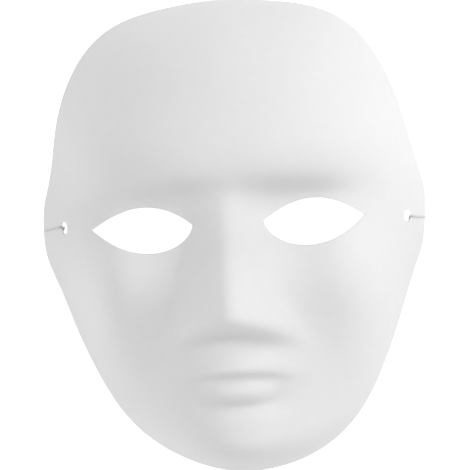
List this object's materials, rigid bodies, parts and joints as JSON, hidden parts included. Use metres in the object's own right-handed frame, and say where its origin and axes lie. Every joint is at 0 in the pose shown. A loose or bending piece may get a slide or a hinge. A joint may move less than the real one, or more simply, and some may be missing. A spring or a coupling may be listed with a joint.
{
  "type": "papier-mache mask",
  "caption": "Blank white full-face craft mask moulded in papier-mache, with almond eye openings, a straight nose, closed lips and a thin elastic head cord tied through side holes.",
  "frame": {"origin": "on the surface that the rim rests on, under the middle of the mask's outline, measured without the elastic", "axes": "+Z out of the face, +Y up the face to the crown, +X across the face to the right side of the picture"},
  "size_m": [0.1716, 0.21, 0.0835],
  "materials": {
    "papier_mache": "matte, off-white moulded pulp, faintly mottled, rougher inside",
    "elastic": "white thread-covered round elastic"
  },
  "bodies": {
    "root": {"mask_shell": "papier_mache", "elastic_loop_left": "elastic", "elastic_loop_right": "elastic", "elastic_cord": "elastic"}
  },
  "joints": []
}
